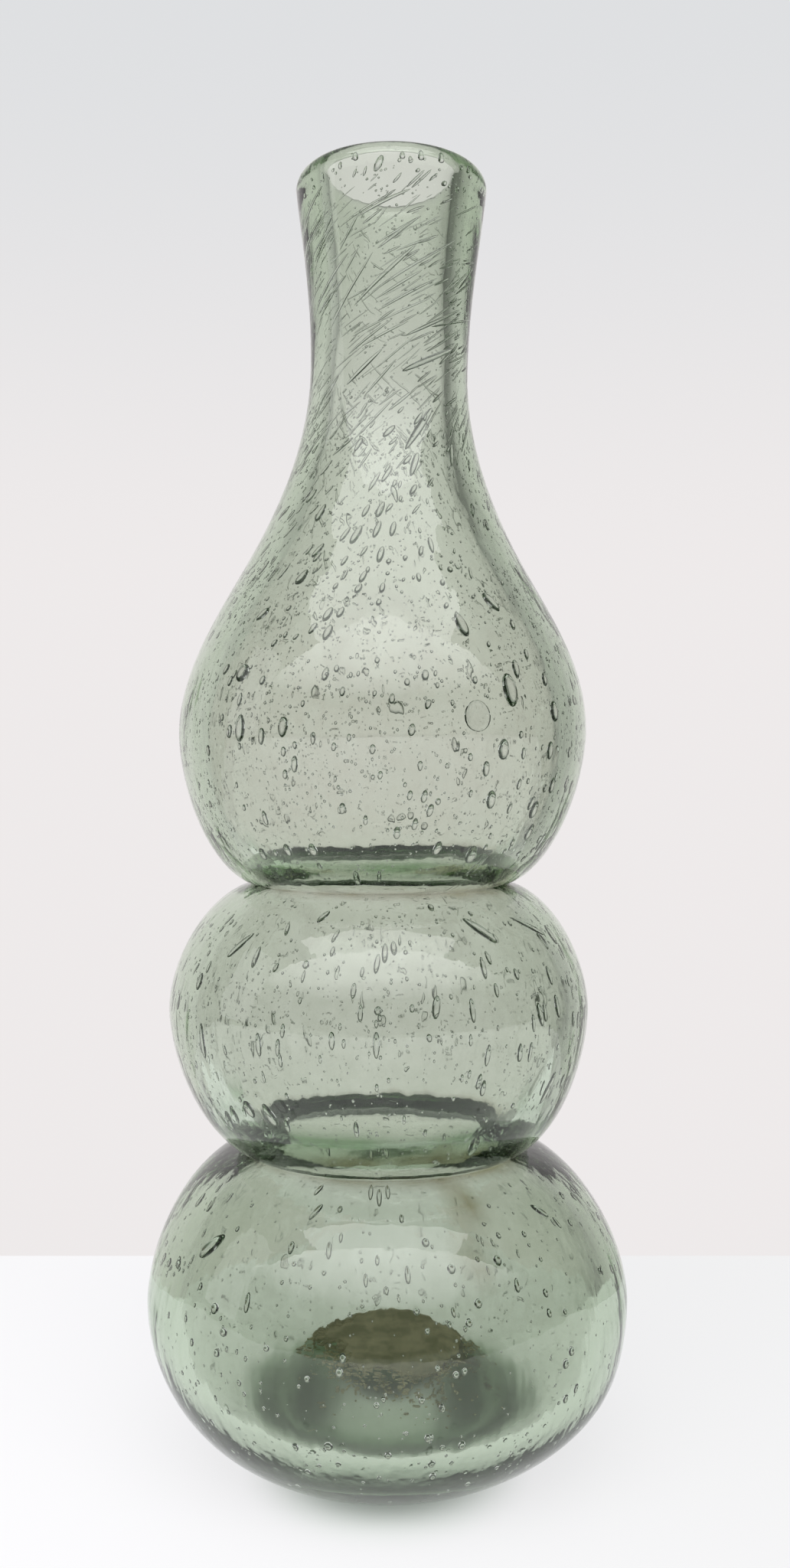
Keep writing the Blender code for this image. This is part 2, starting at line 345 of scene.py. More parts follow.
    def crest(self) -> Run:
        """Points over the fire-polished lip, which meet at its crest."""
        angle = np.linspace(0, math.pi / 2, self.lip_steps + 1)
        half = self.lip.wall / 2
        middle = self.lip.radius - half
        reach = half * np.cos(angle)
        height = self.lip.height + self.lip_rise * np.sin(angle)
        return np.column_stack([middle + reach, height]), np.column_stack([middle - reach, height])

    def pairs(self) -> Run:
        """The whole wall from under the foot to the crest of the lip, as (radius, height) points."""
        runs = [
            self.underside(),
            self.foot(),
            reverse(self.half_bulb(self.lower_bulb, self.lower_waist, self.reach_under_lower_waist)),
            self.half_bulb(self.middle_bulb, self.lower_waist, self.reach_over_lower_waist),
            reverse(self.half_bulb(self.middle_bulb, self.upper_waist, self.reach_under_upper_waist)),
            self.half_bulb(self.upper_bulb, self.upper_waist, self.reach_over_upper_waist),
            self.slope(self.upper_bulb, self.shoulder, (0.0, self.shoulder_slope)),
            self.slope(self.shoulder, self.neck, (self.shoulder_slope, 0.0)),
            self.slope(self.neck, self.lip, (0.0, self.lip_slope)),
            self.crest(),
        ]
        outer, inner = runs[0]
        for next_outer, next_inner in runs[1:]:
            skip = 1 if np.allclose(next_outer[0], outer[-1], atol=1e-7) else 0
            outer = np.concatenate([outer, next_outer[skip:]])
            inner = np.concatenate([inner, next_inner[skip:]])
        return outer, inner

    def sway(self, height: Array) -> Array:
        """How far the hand-made axis has wandered along X at each height."""
        heights = (self.lower_bulb.height, self.middle_bulb.height, self.upper_bulb.height, self.lip.height)
        places = (0.0, self.middle_sway, self.upper_sway, self.lip_sway)
        share = np.interp(height, heights, range(len(heights)))
        low = np.minimum(share.astype(int), len(heights) - 2)
        turn = smooth(share - low)
        return np.take(places, low) * (1 - turn) + np.take(places, low + 1) * turn


@dataclass(frozen=True)
class BubbleFamily:
    """A kind of bubble and the stretch of wall that it lies in.

    Args:
        name: What a blower would call it.
        low: Lowest height.
        high: Highest height.
        count: How many there are all round.
        length: Least and greatest length.
        slimness: Least and greatest ratio of width to length.
        segments: Facets round the bubble.
        rings: Facets along it.
        clump: How strongly the bubbles gather in drifts, from 0 to 1.
        behind: How many of them there are in the back half of the wall for each one in front.
    """

    name: str
    low: float
    high: float
    count: int
    length: Pair
    slimness: Pair
    segments: int
    rings: int
    clump: float
    behind: float = 1.0


FAMILIES = (
    BubbleFamily("neck streaks", 0.196, 0.242, 120, (4 * MM, 14 * MM), (0.035, 0.060), 5, 12, 0.3, 0.2),
    BubbleFamily("neck threads", 0.190, 0.244, 280, (1.2 * MM, 5 * MM), (0.07, 0.14), 4, 7, 0.3, 0.3),
    BubbleFamily("lip beads", 0.2435, 0.2475, 36, (0.5 * MM, 1.5 * MM), (0.7, 0.95), 8, 6, 0.2),
    BubbleFamily("shoulder darts", 0.168, 0.202, 220, (1.2 * MM, 4.0 * MM), (0.18, 0.36), 6, 7, 0.5, 0.7),
    BubbleFamily("upper bulb bubbles", 0.119, 0.170, 90, (1.8 * MM, 4.0 * MM), (0.40, 0.62), 8, 8, 0.4),
    BubbleFamily("upper bulb beads", 0.117, 0.172, 320, (0.7 * MM, 1.6 * MM), (0.5, 0.8), 6, 6, 0.5),
    BubbleFamily("middle bulb bubbles", 0.068, 0.106, 130, (1.8 * MM, 5.0 * MM), (0.24, 0.42), 8, 8, 0.4),
    BubbleFamily("middle bulb beads", 0.064, 0.109, 260, (0.7 * MM, 1.6 * MM), (0.45, 0.8), 6, 6, 0.4),
    BubbleFamily("lower bulb bubbles", 0.040, 0.057, 60, (1.4 * MM, 3.6 * MM), (0.30, 0.55), 8, 8, 0.3),
    BubbleFamily("lower bulb beads", 0.008, 0.057, 330, (0.8 * MM, 1.8 * MM), (0.6, 0.95), 6, 6, 0.4),
)

SEEDS = (
    BubbleFamily("neck seeds", 0.190, 0.246, 900, (0.26 * MM, 0.6 * MM), (0.6, 1.0), 4, 3, 0.5, 0.6),
    BubbleFamily("shoulder seeds", 0.163, 0.205, 1500, (0.28 * MM, 0.8 * MM), (0.5, 0.9), 4, 3, 0.5),
    BubbleFamily("upper bulb seeds", 0.115, 0.172, 3600, (0.28 * MM, 0.75 * MM), (0.6, 1.0), 4, 3, 0.6),
    BubbleFamily("middle bulb seeds", 0.064, 0.109, 2200, (0.28 * MM, 0.70 * MM), (0.6, 1.0), 4, 3, 0.6),
    BubbleFamily("lower bulb seeds", 0.010, 0.057, 1000, (0.28 * MM, 0.7 * MM), (0.7, 1.0), 4, 3, 0.5),
)

# Bubbles given one by one: degrees round from the front, height, length and width in mm, degrees of lean
PLACED = {
    "upper_bulb": (
        (25, 159.7, 5, 2.1, -12), (37, 148.4, 6, 2.9, -3), (39, 164, 4.3, 2.2, -30),
        (-16, 158.1, 3.2, 1.5, 14), (-17, 161.4, 3, 1.5, 19), (-13, 161.7, 2.3, 1.2, 18),
        (-21, 158.9, 2.4, 1.1, 25), (-15, 150.9, 2.5, 1.3, 8), (-10, 147.9, 1.7, 1, 5),
        (-12, 151.8, 1.4, 1, 0), (-8, 150.7, 1.1, 0.7, 0), (-42, 151.4, 3.3, 2.7, 12), (-34, 150, 1.7, 1.2, 6),
        (-41, 146.8, 2.4, 1, 4), (-40, 141.9, 4.7, 2.1, 3), (-26, 142, 3.5, 1.9, 5), (-23, 135.8, 2.9, 1.3, 6),
        (-26, 137.9, 1.7, 1, 3), (-26, 134.1, 1.7, 1, 6), (-12, 138.7, 1.5, 0.9, 6), (-8, 140.2, 1.3, 0.8, 6),
        (3, 146.7, 1.8, 1.1, 8), (7, 149.5, 1.4, 1, 5), (12, 150.7, 2, 1.3, 8), (8, 141.5, 2.1, 1.3, 10),
        (6, 139, 2.7, 1.6, 10), (0, 134, 1.5, 0.9, 8), (-2, 138.3, 1.7, 1.1, 5), (8, 130.6, 1.8, 1, 8),
        (12, 130.4, 2.3, 1.2, 8), (14, 128, 2.4, 1.2, 10), (-4, 126.4, 1.9, 0.9, 3), (10, 125.7, 2.3, 1.1, 6),
        (29, 135, 2.7, 1.4, -2), (24, 137, 1.4, 1, -4), (34, 138.3, 3.6, 2.2, 0), (41, 137.6, 2.1, 1, 0),
        (54, 144.9, 3.7, 2.2, 0), (52, 138.1, 3.2, 1.7, 0), (48, 128.9, 2.7, 1.3, 20), (41, 132.3, 2, 1, 7),
        (-35, 126.5, 2.8, 1.1, -5), (-21, 121.2, 2.5, 1.6, -9), (-30, 121, 2.5, 1.4, -11),
        (18, 121.5, 2.8, 1.5, 11), (-8, 116.4, 3.7, 1.2, -4), (0, 116.7, 2.9, 0.8, 0), (5, 124.2, 2.4, 1.3, 0),
        (0, 166.1, 2.3, 1, 10), (-1, 153.2, 1.2, 0.9, 0), (-26, 157.5, 1.4, 0.8, 31),
        (-24, 158.2, 1.4, 0.9, 28), (-33, 156.5, 1.6, 1, 29), (-42, 161.9, 3, 1.7, 38),
    ),
    "middle_bulb": (
        (0, 100.6, 3.6, 1, 8), (-4, 99.3, 1.8, 0.7, 6), (-2, 98.7, 2, 0.8, 10), (-6, 96.4, 2.7, 1, 4),
        (-4, 92.9, 2.8, 0.9, 0), (-11, 88.4, 3, 1.1, -2), (0, 87.8, 4.4, 1.2, 0), (-8, 88, 1.6, 0.7, 0),
        (-9, 90.7, 1.2, 0.6, 0), (0, 91.2, 1.4, 0.7, 0), (-14, 85.3, 1.5, 0.6, 0), (-31, 86.8, 4, 1.2, -5),
        (-24, 89.5, 2.4, 0.9, 2), (-52, 85.5, 6.2, 1.5, -4), (-50, 85.2, 5.7, 1.4, -7),
        (-29, 99.3, 1.7, 0.9, 17), (-45, 102, 6.3, 1.3, 36), (-43, 102.6, 4.5, 1, 34),
        (-19, 107.4, 3.2, 1.2, 27), (-13, 104.6, 2.8, 0.8, 17), (-13, 102.3, 1.9, 0.8, 5),
        (25, 92.7, 4.1, 1.1, -2), (29, 85.1, 3.8, 1.1, 7), (24, 88, 2, 0.7, 0), (27, 80.7, 2.9, 1, 11),
        (24, 82.2, 1.6, 0.7, 5), (22, 81.6, 1.5, 0.7, 0), (26, 78.2, 3.2, 1.1, 8), (34, 104.9, 7.3, 1.8, -40),
        (56, 104.4, 8.1, 1.3, -55), (59, 103.2, 7.4, 1.2, -53), (33, 95.5, 2.5, 0.9, 0),
        (41, 97.6, 2.1, 1, -7), (0, 80.6, 1.5, 0.7, 0), (3, 81.9, 1, 0.6, 0), (7, 74.8, 2.1, 0.6, 0),
        (-6, 72.9, 3.4, 1, 0), (13, 72.1, 1.6, 0.7, 0), (-38, 74.7, 3.4, 2, -18), (-31, 74.3, 4.6, 2, -21),
        (9, 93.6, 1.4, 0.9, 0), (-20, 100.1, 1.5, 1.2, 0), (-20, 94.5, 1.2, 0.7, 0), (44, 89.3, 3, 0.9, 0),
        (49, 90.8, 3.5, 1, 0), (43, 84.5, 3.6, 0.9, 7), (55, 91.1, 4.1, 1.4, -4), (-57, 95.1, 3.1, 1.6, 0),
        (54, 76.8, 6.4, 1.5, 25),
    ),
    "lower_bulb": (
        (-51, 47.3, 6.5, 2.5, 38), (-47, 47.3, 6.6, 2.4, 36), (-21, 55.4, 3.6, 1.1, 25),
        (-23, 58.2, 2.7, 0.9, 13), (-4, 58.5, 3.8, 0.8, 0), (-1, 57.8, 3.9, 0.9, 0), (2, 58.5, 3.4, 0.8, 0),
        (17, 47.9, 1.7, 1.5, 0), (30, 48, 1.8, 1.5, 0), (52, 52.5, 3.9, 1.4, -38), (-43, 39, 1.9, 1.7, 14),
        (-39, 36.1, 1.5, 1.5, 0), (22, 42.7, 1.6, 1.4, 0), (19, 40.2, 1.4, 1.2, 0), (-8, 42, 0.9, 0.8, 0),
        (-27, 35.5, 1.1, 1.1, 0), (-17, 32, 1.1, 1, 0), (-2, 28.6, 1.1, 0.9, 0), (15, 32.8, 1.2, 1.1, 0),
        (11, 34.1, 1, 0.8, 0), (17, 20.7, 1.8, 1.2, 0), (9, 22.6, 1.6, 1.1, 0),
    ),
    "shoulder": (
        (20, 174.4, 3.6, 1, -2), (-1, 172.4, 3.7, 1.2, 10), (-12, 176.3, 4.3, 1.4, 19),
        (-17, 176.5, 3.5, 1, 22), (-3, 177.3, 3.9, 1.1, 15), (4, 177.4, 3.4, 1.1, 11), (-9, 181, 2.9, 1, 19),
        (-2, 181.2, 3.6, 1.2, 18), (-6, 186.8, 4.3, 0.8, 23), (1, 189.5, 2.2, 0.6, 26),
        (17, 190.3, 5.3, 1.2, 18), (22, 197.5, 10.5, 1.3, 32), (8, 186.2, 1.7, 0.6, 13),
        (5, 186.4, 1.6, 0.7, 15), (8, 183.4, 1.4, 0.6, 13), (8, 182.3, 1.4, 0.6, 4), (19, 186.1, 1.1, 0.5, 5),
        (30, 184.3, 1.8, 0.5, 0), (22, 183.1, 1.4, 0.5, 7), (16, 177.2, 1.3, 0.6, 0), (22, 170.1, 1.3, 0.6, 0),
        (13, 168.1, 2, 0.9, 0), (-7, 168.2, 2.7, 1.1, 18), (-15, 171.3, 2.4, 0.9, 19),
        (-27, 172.2, 2.3, 0.9, 25), (-26, 169.6, 1.5, 0.7, 24), (45, 193, 5.1, 0.9, 13),
        (29, 170.5, 1.4, 0.6, -10), (-19, 209.4, 8.8, 0.8, 45), (33, 211.3, 11.8, 1.1, 61),
        (9, 202.7, 5.5, 0.6, 46), (31, 207, 4.9, 0.4, 53), (-22, 197.5, 3.7, 0.4, 34),
        (-15, 192.7, 2.4, 0.5, 33),
    ),
    "neck": (
        (-23, 247.2, 1.3, 1.1, 0), (7, 247, 1.2, 1, 0), (12, 246.6, 0.8, 0.7, 0), (19, 247.2, 1.5, 1.2, 0),
        (33, 247.4, 1.5, 1.2, 0), (-34, 246.3, 1.3, 0.7, 11), (-8, 245.7, 3, 1.3, 27),
        (16, 243.3, 4.4, 0.5, 42), (20, 243.4, 5, 0.5, 43), (4, 243.2, 2.3, 0.5, 37), (28, 244, 2.2, 0.5, 42),
        (-24, 244.5, 1.6, 0.5, 26), (-17, 244.6, 1.8, 0.5, 20), (-30, 234.6, 7.7, 0.5, 34),
        (5, 233.7, 8.9, 0.6, 50), (-4, 226.4, 15.3, 0.7, 45), (19, 228.5, 19.1, 0.5, 54),
        (14, 220.3, 10.1, 0.4, 61), (9, 222.6, 8.5, 0.3, 57), (-29, 229.3, 4.8, 0.4, 33),
        (-31, 224, 15.3, 0.5, 35), (26, 233, 5.2, 0.3, 57), (12, 238.7, 5.4, 0.3, 45),
        (-7, 236.7, 3.8, 0.3, 37),
    ),
}

# Flat blisters and a curved cord of glass, in rows of the same kind
BLISTERS = (
    (26, 143.9, 5.4, 5.0, 0),
    (24, 144.2, 2.6, 2.4, 0),
)
CORD = (
    (33.6, 118.1, 4.2, 0.30, 22),
    (30.1, 114.5, 3.0, 0.30, 31),
    (27.4, 112.0, 1.8, 0.30, 18),
    (26.5, 109.8, 2.0, 0.30, 2),
    (36.2, 118.4, 4.2, 0.30, 22),
    (32.7, 114.8, 3.0, 0.30, 31),
    (30.0, 112.3, 1.8, 0.30, 18),
)

LEAN_HEIGHTS = (0.100, 0.148, 0.163, 0.181, 0.200, 0.220, 0.240)
LEAN_DEGREES = (0.0, 7.0, 16.0, 26.0, 40.0, 60.0, 56.0)


def lean_at(height: float) -> float:
    """How far the twist of the neck lays a bubble over from upright, in radians."""
    return math.radians(float(np.interp(height, LEAN_HEIGHTS, LEAN_DEGREES)))


@dataclass
class Bubble:
    """One bubble in the wall.

    Args:
        along: How far up the middle of the wall its centre is.
        azimuth: Its direction from the axis.
        depth: Where it lies in the wall, from 0 at the hollow to 1 outside.
        length: Its length along the way it was drawn.
        width: Its width.
        thickness: Its thickness through the wall.
        lean: How far it lies over from upright.
        taper: How much one end is slimmer than the other.
        segments: Facets round it.
        rings: Facets along it.
    """

    along: float
    azimuth: float
    depth: float
    length: float
    width: float
    thickness: float
    lean: float
    taper: float
    segments: int
    rings: int


class TrappedAir:
    """The bubbles between the two gathers."""

    flatness: float = 0.9
    blister_flatness: float = 0.06
    room_share: float = 1.7
    clearance: float = 0.55
    most_beads: int = 24
    placed_depth: float = 0.6
    placed_taper: float = 0.15
    placed_facets: tuple[int, int] = (12, 10)
    streak_facets: tuple[int, int] = (6, 16)
    streak_ratio: float = 6
    tries: int = 12
    drift_round: float = 2.2
    drift_up: float = 60
    depths: Pair = (0.25, 0.75)
    lean_spread: float = math.radians(6)
    taper: float = 0.2

    def __init__(self, wall: VaseWall) -> None:
        """Measures the wall that the bubbles lie in.

        Args:
            wall: The wall of the vase.
        """
        self.wall = wall
        outer, inner = wall.pairs()
        first = len(wall.underside()[0]) + wall.arc_steps // 4
        self.outer = outer[first:]
        self.inner = inner[first:]
        self.middle = (self.outer + self.inner) / 2
        steps = np.linalg.norm(np.diff(self.middle, axis=0), axis=1)
        self.along = np.concatenate([[0.0], np.cumsum(steps)])
        self.random = random.Random(GOLDEN_SEED)
        self.bubbles: list[Bubble] = []
        self.taken = np.empty((0, 4))

    def along_at(self, height: float) -> float:
        """How far up the middle of the wall a height is."""
        return float(np.interp(height, self.middle[:, 1], self.along))

    def thickness_at(self, along: float) -> float:
        """Thickness of the wall at a place along it."""
        gap = np.linalg.norm(self.outer - self.inner, axis=1)
        return float(np.interp(along, self.along, gap))

    def points(self, along: Array, azimuth: Array, depth: Array) -> Array:
        """Turns places in the wall into points of space.

        Args:
            along: How far up the middle of the wall each is.
            azimuth: Its direction from the axis.
            depth: Where it lies in the wall, from 0 at the hollow to 1 outside.

        Returns:
            The points, one row each.
        """
        radius, height = (
            np.interp(along, self.along, self.inner[:, axis]) * (1 - depth)
            + np.interp(along, self.along, self.outer[:, axis]) * depth
            for axis in (0, 1)
        )
        x = radius * np.cos(azimuth) + self.wall.sway(height)
        return np.column_stack([x, radius * np.sin(azimuth), height])

    def shape(self, bubble: Bubble, unit: Array) -> Array:
        """Lays points of a unit ball along the wall as a bubble.

        Args:
            bubble: The bubble.
            unit: Points of the unit ball.

        Returns:
            The same points in space.
        """
        slim = 1 - bubble.taper * unit[:, 0]
        far = unit[:, 0] * bubble.length / 2
        side = unit[:, 1] * slim * bubble.width / 2
        along = bubble.along + far * math.cos(bubble.lean) - side * math.sin(bubble.lean)
        around = far * math.sin(bubble.lean) + side * math.cos(bubble.lean)
        radius = np.interp(along, self.along, self.middle[:, 0])
        deep = unit[:, 2] * slim * bubble.thickness / 2 / self.thickness_at(bubble.along)
        return self.points(along, bubble.azimuth + around / radius, bubble.depth + deep)

    def add_if_free(self, bubble: Bubble) -> bool:
        """Adds a bubble if it is clear of those that are there, and says whether it was."""
        count = max(1, min(self.most_beads, round(bubble.length / bubble.width)))
        unit = np.zeros((count, 3))
        if count > 1:
            unit[:, 0] = np.linspace(-1, 1, count) * (1 - bubble.width / bubble.length / 2)
        line = self.shape(bubble, unit)
        apart = np.linalg.norm(self.taken[None, :, :3] - line[:, None, :], axis=2)
        free = not (apart < self.taken[None, :, 3] + bubble.width / 2).any()
        if free:
            row = np.column_stack([line, np.full(count, bubble.width * self.clearance)])
            self.taken = np.concatenate([self.taken, row])
            self.bubbles.append(bubble)
        return free

    def place(self, name: str, rows: Rows, flatness: float) -> None:
        """Puts bubbles at their own places, near the outside of the wall.

        Args:
            name: The stretch of wall that they are in.
            rows: Degrees round from the front, height, length and width in mm, and degrees of lean of each.
            flatness: Ratio of thickness to width.
        """
        for turn, height, length, width, lean in rows:
            along = self.along_at(height * MM)
            room = self.thickness_at(along) * (1 - self.placed_depth) * self.room_share
            facets = self.streak_facets if length > width * self.streak_ratio else self.placed_facets
            self.add_if_free(Bubble(
                along, math.radians(turn - 90), self.placed_depth, length * MM, width * MM,
                min(width * MM * flatness, room), math.radians(lean),
                self.random.uniform(-self.placed_taper, self.placed_taper), *facets))
        LOG.info("%s: %d placed", name, len(rows))

    def scatter(self, family: BubbleFamily) -> None:
        """Scatters a family of bubbles over its stretch of wall.

        Args:
            family: The kind of bubble.
        """
        made = 0
        for _ in range(family.count * self.tries):
            if made == family.count:
                break
            height = self.random.uniform(family.low, family.high)
            azimuth = self.random.uniform(-math.pi, math.pi)
            x, y = math.cos(azimuth) * self.drift_round, math.sin(azimuth) * self.drift_round
            drift = noise.noise(Vector((x, y, height * self.drift_up)))
            chance = self.random.random()
            length = family.length[0] + (family.length[1] - family.length[0]) * self.random.random() ** 2
            width = length * self.random.uniform(*family.slimness)
            depth = self.random.uniform(*self.depths)
            lean = lean_at(height) + self.random.gauss(0, self.lean_spread)
            taper = self.random.uniform(-self.taper, self.taper)
            if chance < family.clump * (0.5 - drift):
                continue
            if azimuth > 0 and self.random.random() > family.behind:
                continue
            along = self.along_at(height)
            room = self.thickness_at(along) * min(depth, 1 - depth) * self.room_share
            thickness = min(width * self.flatness, room)
            made += self.add_if_free(Bubble(
                along, azimuth, depth, length, width, thickness, lean, taper, family.segments, family.rings))
        LOG.info("%s: %d", family.name, made)

    def mesh(self, first: int) -> Shape:
        """The bubbles from a given one on, as points and faces."""
        shapes = []
        for bubble in self.bubbles[first:]:
            unit, faces = ball(bubble.segments, bubble.rings)
            shapes.append((self.shape(bubble, unit), faces))
        return joined(shapes)


def grey(level: float) -> Colour:
    """A grey of a given level."""
    return level, level, level, 1.0


class Nodes:
    """The nodes of a material or of the world, with short ways to add to them."""

    def __init__(self, owner: Material | bpy.types.World) -> None:
        """Turns the nodes on.

        Args:
            owner: What the nodes belong to.
        """
        owner.use_nodes = True
        self.tree = owner.node_tree

    def feed(self, node: Node | str, inputs: Inputs) -> None:
        """Gives a node its inputs.

        Args:
            node: The node or its name.
            inputs: For the name or number of each input, its value or the socket that gives it.
        """
        node = self.tree.nodes[node] if isinstance(node, str) else node
        for key, value in inputs.items():
            if isinstance(value, Socket):
                self.tree.links.new(value, node.inputs[key])
            else:
                node.inputs[key].default_value = value

    def add(self, kind: str, inputs: Inputs, **settings: str | bool) -> Node:
        """Adds a node.

        Args:
            kind: What kind of shader node it is.
            inputs: For the name or number of each input, its value or the socket that gives it.
            settings: The node's own settings.

        Returns:
            The node.
        """
        node = self.tree.nodes.new(f"ShaderNode{kind}")
        for name, value in settings.items():
            setattr(node, name, value)
        self.feed(node, inputs)
        return node

    def ranged(self, value: Socket, low: float, high: float) -> Socket:
        """Takes a value smoothly from 0 at one end of a range to 1 at the other."""
        inputs = {"Value": value, "From Min": low, "From Max": high}
        return self.add("MapRange", inputs, interpolation_type="SMOOTHSTEP").outputs["Result"]

    def mixed(self, share: Socket, first: Socket | Colour, second: Socket | Colour) -> Socket:
        """Goes from the first colour to the second one as the share goes from 0 to 1."""
        return self.add("Mix", {0: share, 6: first, 7: second}, data_type="RGBA").outputs[2]

    def worked_out(self, operation: str, *terms: Socket | float, clamp: bool = False) -> Socket:
        """Works out a sum of numbers."""
        return self.add("Math", dict(enumerate(terms)), operation=operation, use_clamp=clamp).outputs[0]

    def measured(self, operation: str, *terms: Socket | Place) -> Socket:
        """Works out a number from vectors."""
        return self.add("VectorMath", dict(enumerate(terms)), operation=operation).outputs["Value"]

    def place(self, kind: str = "Object") -> Socket:
        """Gives the place on the piece, or another kind of coordinate."""
        return self.add("TexCoord", {}).outputs[kind]

    def part(self, vector: Socket, axis: str) -> Socket:
        """Gives a vector's part along an axis."""
        return self.add("SeparateXYZ", {"Vector": vector}).outputs[axis]

    def layer(self, name: str) -> Socket:
        """Reads how much of a layer lies on the piece."""
        return self.add("Attribute", {}, attribute_name=name).outputs["Fac"]

    def clouds(self, scale: Place, detail: float) -> Socket:
        """Gives a noise that is fixed to the piece, with so many clouds to the metre along each axis."""
        stretched = self.add("Mapping", {"Vector": self.place(), "Scale": scale}).outputs["Vector"]
        return self.add("TexNoise", {"Vector": stretched, "Scale": 1.0, "Detail": detail}).outputs["Fac"]

    def bumped(self, height: Socket, distance: float) -> Socket:
        """Gives the normal that a fine relief of a given depth has."""
        return self.add("Bump", {"Height": height, "Distance": distance}).outputs["Normal"]

    def seen_rays(self) -> Socket:
        """Gives 1 for a ray that the eye follows, straight, in a reflection or through glass, or else 0."""
        path = self.add("LightPath", {}).outputs
        seen = path["Is Camera Ray"]
        for kind in ("Is Glossy Ray", "Is Transmission Ray"):
            seen = self.worked_out("MAXIMUM", seen, path[kind])
        return seen


@dataclass(frozen=True)
class Finish:
    """A finish that makes a material of its name.

    Args:
        name: Name of the material.
    """

    name: str

    def make(self) -> Material:
        """Makes the material, or finds it if another piece has made it."""
        material = bpy.data.materials.get(self.name)
        if material is None:
            material = bpy.data.materials.new(self.name)
            nodes = Nodes(material)
            self.dress(nodes, nodes.tree.nodes["Principled BSDF"])
        return material

    def dress(self, nodes: Nodes, shader: Node) -> None:
        """Sets up the material.

        Args:
            nodes: Its nodes.
            shader: The shader among them.
        """
        raise NotImplementedError


def add_piece(name: str, shape: Shape, finish: Finish) -> Piece:
    """Makes a smooth piece and puts it in the scene.

    Args:
        name: Its name.
        shape: Its points and faces.
        finish: Its finish.

    Returns:
        The piece.
    """
    mesh = bpy.data.meshes.new(name)
    mesh.from_pydata(shape[0].tolist(), [], shape[1])
    mesh.materials.append(finish.make())
    mesh.shade_smooth()
    piece = bpy.data.objects.new(name, mesh)
    bpy.context.scene.collection.objects.link(piece)
    return piece


@dataclass(frozen=True)
class TintedGlass(Finish):
    """Pale green glass with a film of dried water in its hollow, brown silt on its floor, a brown line along the
    outside of its creases, and painted dark green shade.

    Args:
        name: Name of the material.
        absorbed: How much red, green and blue the glass takes up in a metre.
        headroom: How far the density lies above the greatest of those.
        ior: Index of refraction.
        film: Colour that a full film lets through in the upper bulb and the neck.
        low_film: Colour that it lets through below them.
        film_change: Heights between which it goes from one to the other.
        film_marks: Least and greatest share of the film in the marks of dried water.
        mark_levels: Noise that gives those shares.
        mark_clouds: Marks to the metre along each axis.
        mark_detail: Finer noise in them.
        haze: Roughness of a full film.
        silt: Colour that silt lets through.
        grain: Roughness of the dull floor and underside.
        painted_shade: Colour of the painted dark green shade laid over the glass.
        striae_clouds: Upright ripples of the drawn glass to the metre along each axis.
        striae_detail: Finer noise in them.
        striae_depth: Their depth.
    """

    name: str = "pale_green_bubble_glass"
    absorbed: Place = (38.0, 27.5, 42.5)
    headroom: float = 1.1
    ior: float = 1.5
    film: Colour = (0.80, 0.735, 0.71, 1.0)
    low_film: Colour = (0.74, 0.75, 0.71, 1.0)
    film_change: Pair = (0.095, 0.125)
    film_marks: Pair = (0.72, 1.35)
    mark_levels: Pair = (0.30, 0.70)
    mark_clouds: Place = (420.0, 420.0, 300.0)
    mark_detail: float = 5.0
    haze: float = 0.06
    silt: Colour = (0.36, 0.30, 0.18, 1.0)
    grain: float = 0.45
    painted_shade: Colour = (0.12, 0.24, 0.10, 1.0)
    striae_clouds: Place = (210.0, 210.0, 70.0)
    striae_detail: float = 2.0
    striae_depth: float = 0.12 * MM

    def dress(self, nodes: Nodes, shader: Node) -> None:
        """Sets up the material."""
        density = max(self.absorbed) * self.headroom
        passed = (*(1 - part / density for part in self.absorbed), 1.0)
        volume = nodes.add("VolumeAbsorption", {"Color": passed, "Density": density})
        nodes.feed("Material Output", {"Volume": volume.outputs["Volume"]})
        marks = nodes.add("MapRange", {
            "Value": nodes.clouds(self.mark_clouds, self.mark_detail),
            "From Min": self.mark_levels[0], "From Max": self.mark_levels[1],
            "To Min": self.film_marks[0], "To Max": self.film_marks[1]})
        film = nodes.worked_out("MULTIPLY", nodes.layer("film"), marks.outputs["Result"], clamp=True)
        up = nodes.ranged(nodes.part(nodes.place(), "Z"), *self.film_change)
        filmed = nodes.mixed(film, WHITE, nodes.mixed(up, self.low_film, self.film))
        # Painted dark green shade over the glass's own colour
        shaded_glass = nodes.mixed(nodes.layer("painted_shade"), filmed, self.painted_shade)
        hazy = nodes.mixed(film, grey(0.0), grey(self.haze))
        nodes.feed(shader, {
            "Transmission Weight": 1.0,
            "IOR": self.ior,
            "Base Color": nodes.mixed(nodes.layer("silt"), shaded_glass, self.silt),
            "Roughness": nodes.mixed(nodes.layer("frost"), hazy, grey(self.grain)),
            "Normal": nodes.bumped(nodes.clouds(self.striae_clouds, self.striae_detail), self.striae_depth),
        })


